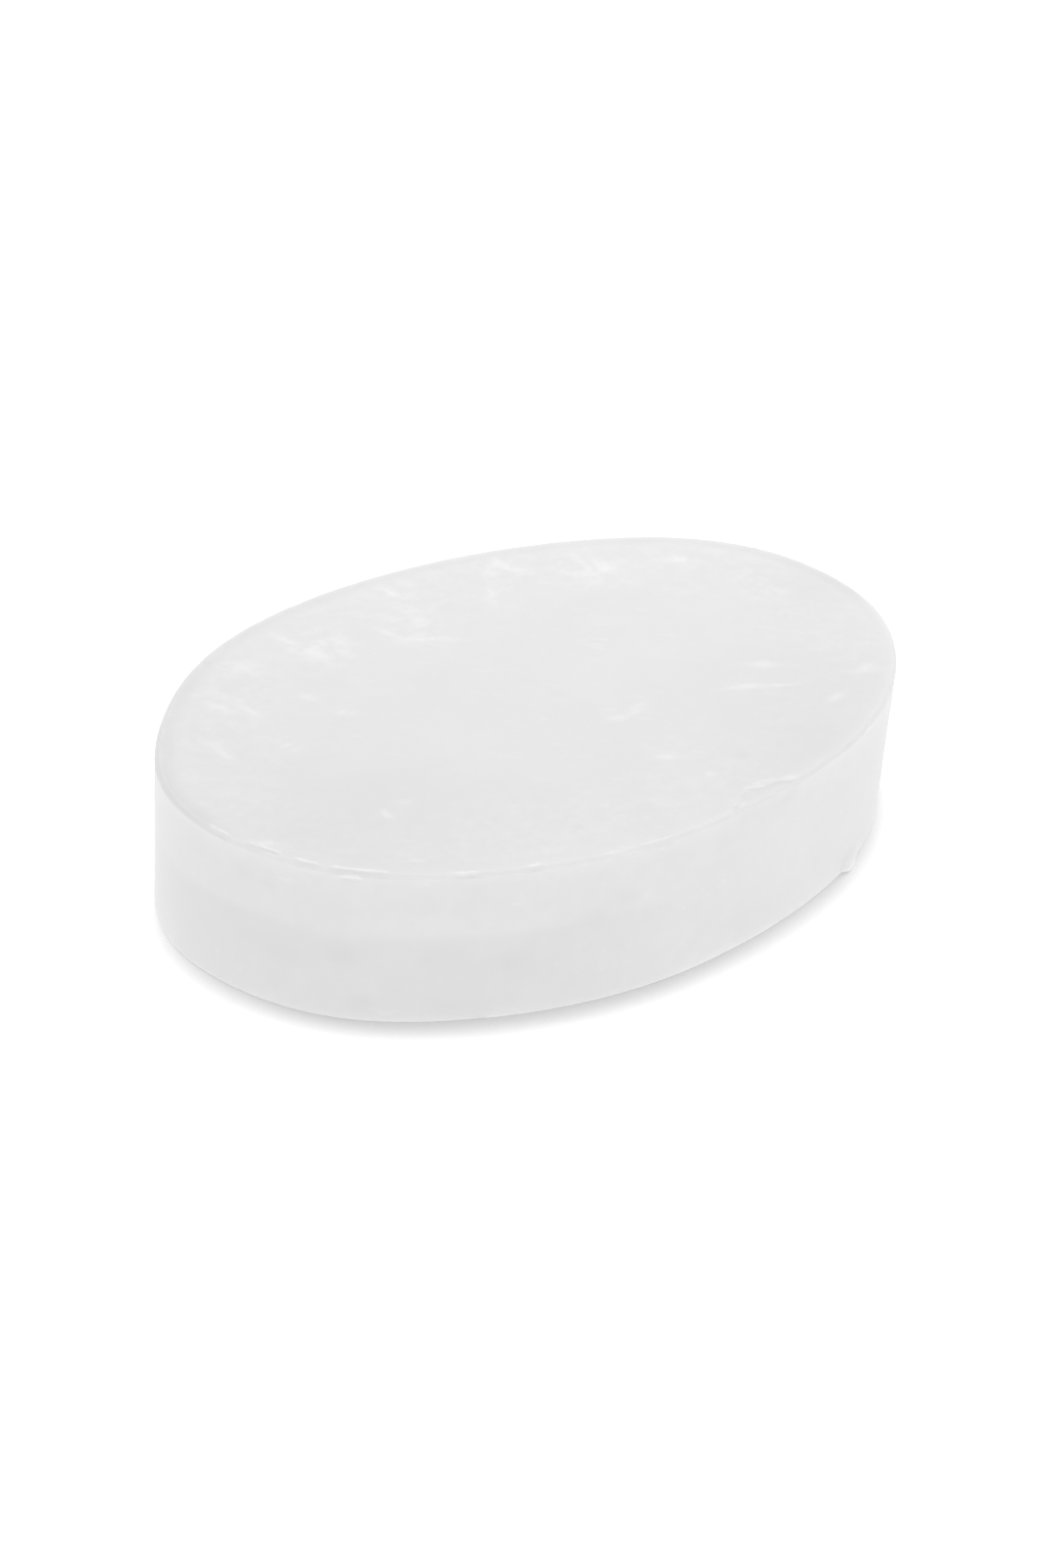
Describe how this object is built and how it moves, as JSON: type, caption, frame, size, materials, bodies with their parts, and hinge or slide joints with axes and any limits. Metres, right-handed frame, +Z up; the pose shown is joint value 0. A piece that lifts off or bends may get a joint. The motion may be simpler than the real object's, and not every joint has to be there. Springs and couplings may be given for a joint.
{
  "type": "shaving soap puck",
  "caption": "Oval puck of translucent white shaving soap with a flat top and base, an upright wall and softly rounded rims.",
  "frame": {"origin": "middle of the flat base, on the surface that the puck rests on", "axes": "+X along the oval's long way, +Y across it, +Z up through the thickness"},
  "size_m": [0.075, 0.05, 0.015],
  "materials": {
    "soap": "hard white soap, faintly translucent and waxy, satin, with cloudy white patches and fine streaks"
  },
  "bodies": {
    "root": {"soap_puck": "soap"}
  },
  "joints": []
}
